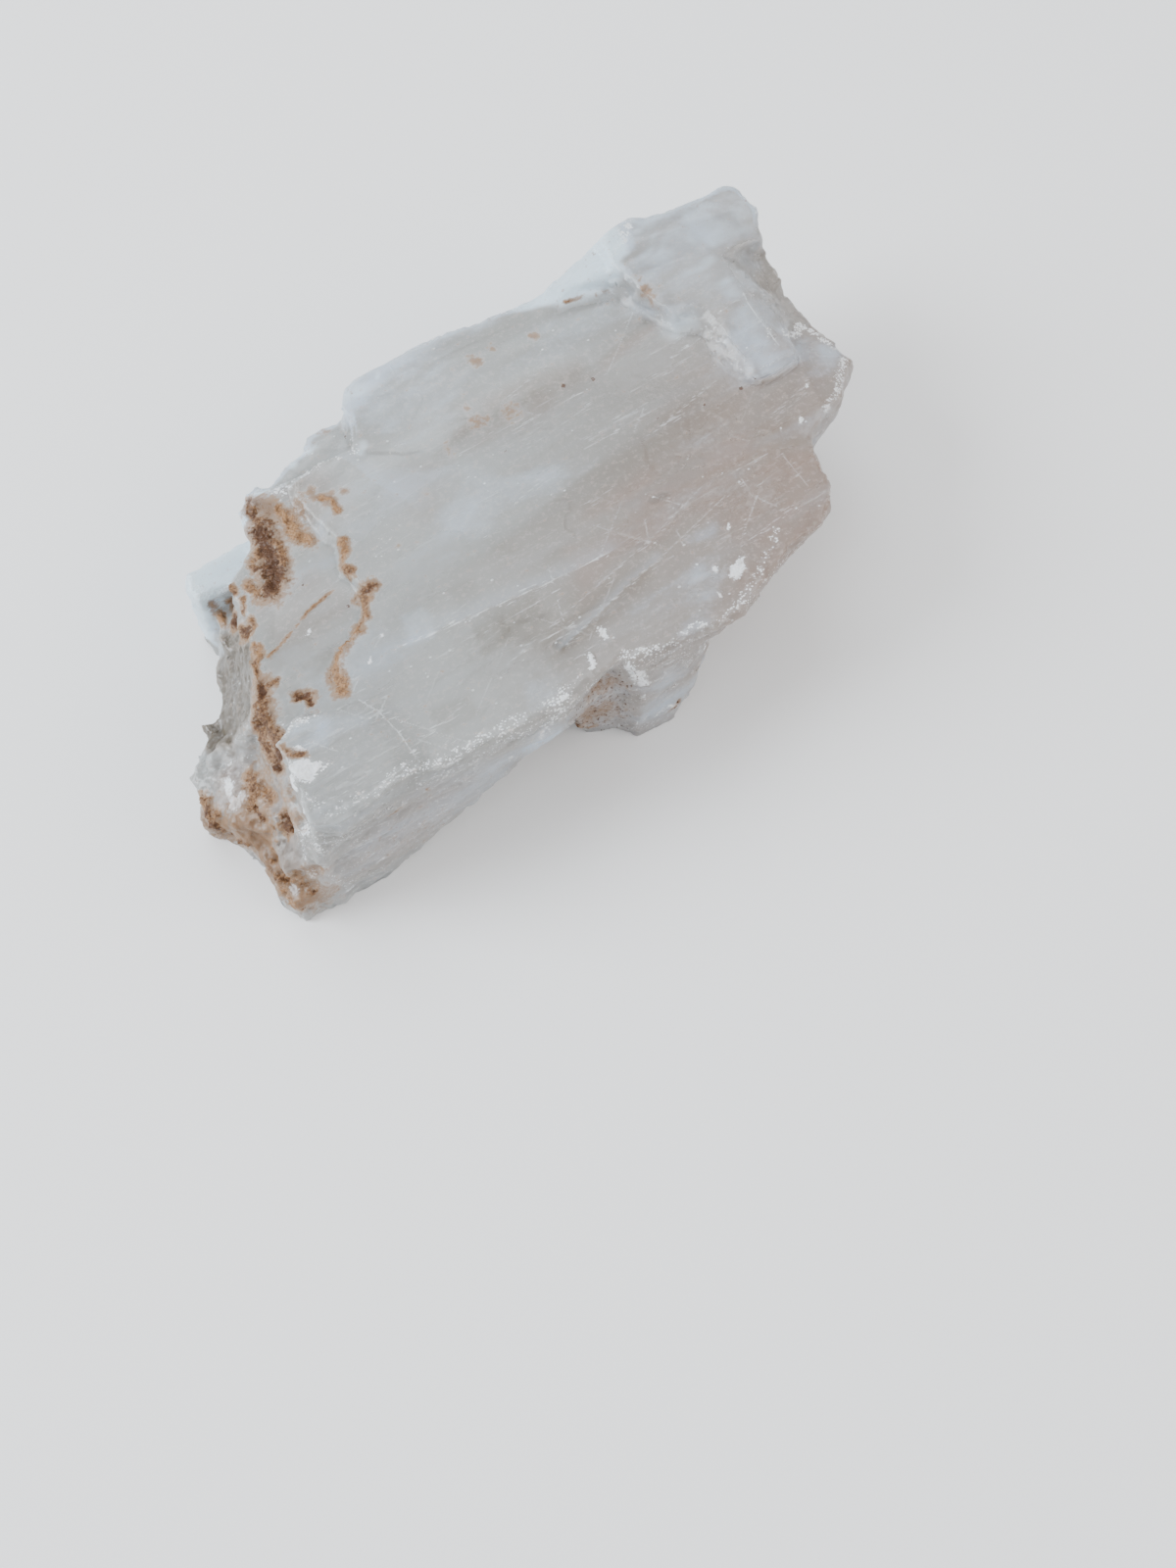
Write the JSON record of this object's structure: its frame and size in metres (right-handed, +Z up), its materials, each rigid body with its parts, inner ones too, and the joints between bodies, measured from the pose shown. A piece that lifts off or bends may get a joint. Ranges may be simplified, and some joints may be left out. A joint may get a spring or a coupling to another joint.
{
  "type": "selenite specimen",
  "caption": "Rough cleaved plate of milky selenite lying on its broad face, with a raised layer at one corner, a broken stepped end and a lump under one edge.",
  "frame": {"origin": "middle of the base, on the surface that the plate lies on", "axes": "+X along the fibres towards the end with the raised layer, +Y to the far side, +Z up, square to the main cleavage face"},
  "size_m": [0.115, 0.0626, 0.0299],
  "materials": {
    "selenite": "milky see-through crystal, silky along the fibres, chalky white on bruised edges, rusty clay in the breaks"
  },
  "bodies": {
    "root": {"selenite": "selenite"}
  },
  "joints": []
}
